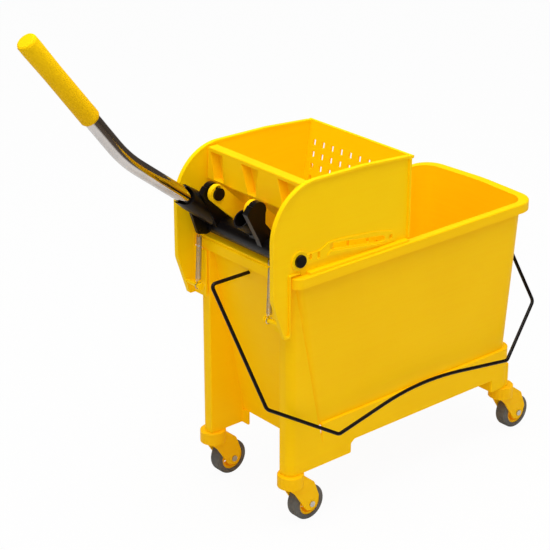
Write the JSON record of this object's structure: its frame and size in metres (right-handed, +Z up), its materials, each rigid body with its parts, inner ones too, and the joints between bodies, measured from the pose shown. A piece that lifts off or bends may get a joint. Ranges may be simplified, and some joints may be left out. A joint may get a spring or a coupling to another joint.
{
  "type": "mop bucket with wringer",
  "caption": "Wheeled plastic mop bucket with a hung side-press wringer, long lever, return springs, swivel casters and a wire carrying handle.",
  "frame": {"origin": "on the floor, on the bucket's middle plane, near the middle of its wheelbase: 190 mm from the front casters' swivel axes and 214 mm from the back ones", "axes": "+X towards the pouring end, with the wringer and its lever at the -X end; +Y across the bucket; +Z up"},
  "size_m": [0.751, 0.2298, 0.6911],
  "materials": {
    "yellow_plastic": "injection-moulded yellow polypropylene, soft gloss",
    "yellow_grip": "soft yellow plastic grip, soft gloss",
    "black_plastic": "moulded black nylon, soft gloss",
    "grey_rubber": "non-marking grey rubber, matte",
    "bright_steel": "zinc plated steel",
    "zinc_spring": "galvanised spring wire",
    "chromed_tube": "chrome plated steel tube",
    "black_wire": "black powder-coated steel wire"
  },
  "bodies": {
    "bucket": {"bucket_shell": "yellow_plastic"},
    "bail": {"bail_handle": "black_wire"},
    "wringer": {"wringer_frame": "yellow_plastic", "pivot_pin_near": "black_plastic", "pivot_pin_far": "black_plastic", "return_spring_near": "zinc_spring", "return_spring_far": "zinc_spring"},
    "press": {"press_plate": "yellow_plastic", "plate_stud_near": "yellow_plastic", "plate_stud_far": "yellow_plastic"},
    "yoke": {"yoke": "black_plastic", "crank_pin_near": "black_plastic", "crank_pin_far": "black_plastic", "lever_tube": "chromed_tube", "lever_grip": "yellow_grip"},
    "fork_front_near_body": {"fork_front_near": "yellow_plastic", "stem_front_near": "bright_steel", "axle_front_near": "bright_steel"},
    "wheel_front_near": {"hub_front_near": "yellow_plastic", "tyre_front_near": "grey_rubber"},
    "fork_front_far_body": {"fork_front_far": "yellow_plastic", "stem_front_far": "bright_steel", "axle_front_far": "bright_steel"},
    "wheel_front_far": {"hub_front_far": "yellow_plastic", "tyre_front_far": "grey_rubber"},
    "fork_back_near_body": {"fork_back_near": "yellow_plastic", "stem_back_near": "bright_steel", "axle_back_near": "bright_steel"},
    "wheel_back_near": {"hub_back_near": "yellow_plastic", "tyre_back_near": "grey_rubber"},
    "fork_back_far_body": {"fork_back_far": "yellow_plastic", "stem_back_far": "bright_steel", "axle_back_far": "bright_steel"},
    "wheel_back_far": {"hub_back_far": "yellow_plastic", "tyre_back_far": "grey_rubber"}
  },
  "joints": [
    {"name": "swivel_front_near", "type": "hinge", "parent": "bucket", "child": "fork_front_near_body", "pos_m": [-0.19, -0.082, 0.0754], "axis": [0, 0, 1], "continuous": true},
    {"name": "roll_front_near", "type": "hinge", "parent": "fork_front_near_body", "child": "wheel_front_near", "pos_m": [-0.164, -0.082, 0.025], "axis": [0, 1, 0], "continuous": true},
    {"name": "swivel_front_far", "type": "hinge", "parent": "bucket", "child": "fork_front_far_body", "pos_m": [-0.19, 0.082, 0.0754], "axis": [0, 0, 1], "continuous": true},
    {"name": "roll_front_far", "type": "hinge", "parent": "fork_front_far_body", "child": "wheel_front_far", "pos_m": [-0.164, 0.082, 0.025], "axis": [0, 1, 0], "continuous": true},
    {"name": "swivel_back_near", "type": "hinge", "parent": "bucket", "child": "fork_back_near_body", "pos_m": [0.214, -0.082, 0.0754], "axis": [0, 0, 1], "continuous": true},
    {"name": "roll_back_near", "type": "hinge", "parent": "fork_back_near_body", "child": "wheel_back_near", "pos_m": [0.24, -0.082, 0.025], "axis": [0, 1, 0], "continuous": true},
    {"name": "swivel_back_far", "type": "hinge", "parent": "bucket", "child": "fork_back_far_body", "pos_m": [0.214, 0.082, 0.0754], "axis": [0, 0, 1], "continuous": true},
    {"name": "roll_back_far", "type": "hinge", "parent": "fork_back_far_body", "child": "wheel_back_far", "pos_m": [0.24, 0.082, 0.025], "axis": [0, 1, 0], "continuous": true},
    {"name": "bail_swing", "type": "hinge", "parent": "bucket", "child": "bail", "pos_m": [-0.19, 0, 0.338], "axis": [-1, 0, 0], "range_deg": [0, 150]},
    {"name": "wringer_lift", "type": "slide", "parent": "bucket", "child": "wringer", "axis": [0, 0, 1], "range_m": [0, 0.045]},
    {"name": "yoke_press", "type": "hinge", "parent": "wringer", "child": "yoke", "pos_m": [-0.1905, 0, 0.385], "axis": [0, 1, 0], "range_deg": [0, 45], "stiffness_Nm_per_rad": 1.2, "springref_deg": -8.59, "deforming": ["return_spring_near", "return_spring_far"]},
    {"name": "plate_slide", "type": "slide", "parent": "wringer", "child": "press", "axis": [0.9891, 0, -0.1472], "range_m": [0, 0.0436]}
  ],
  "couplings": [
    {"joint": "plate_slide", "follows": "yoke_press", "m_per_rad": 0.05548}
  ]
}
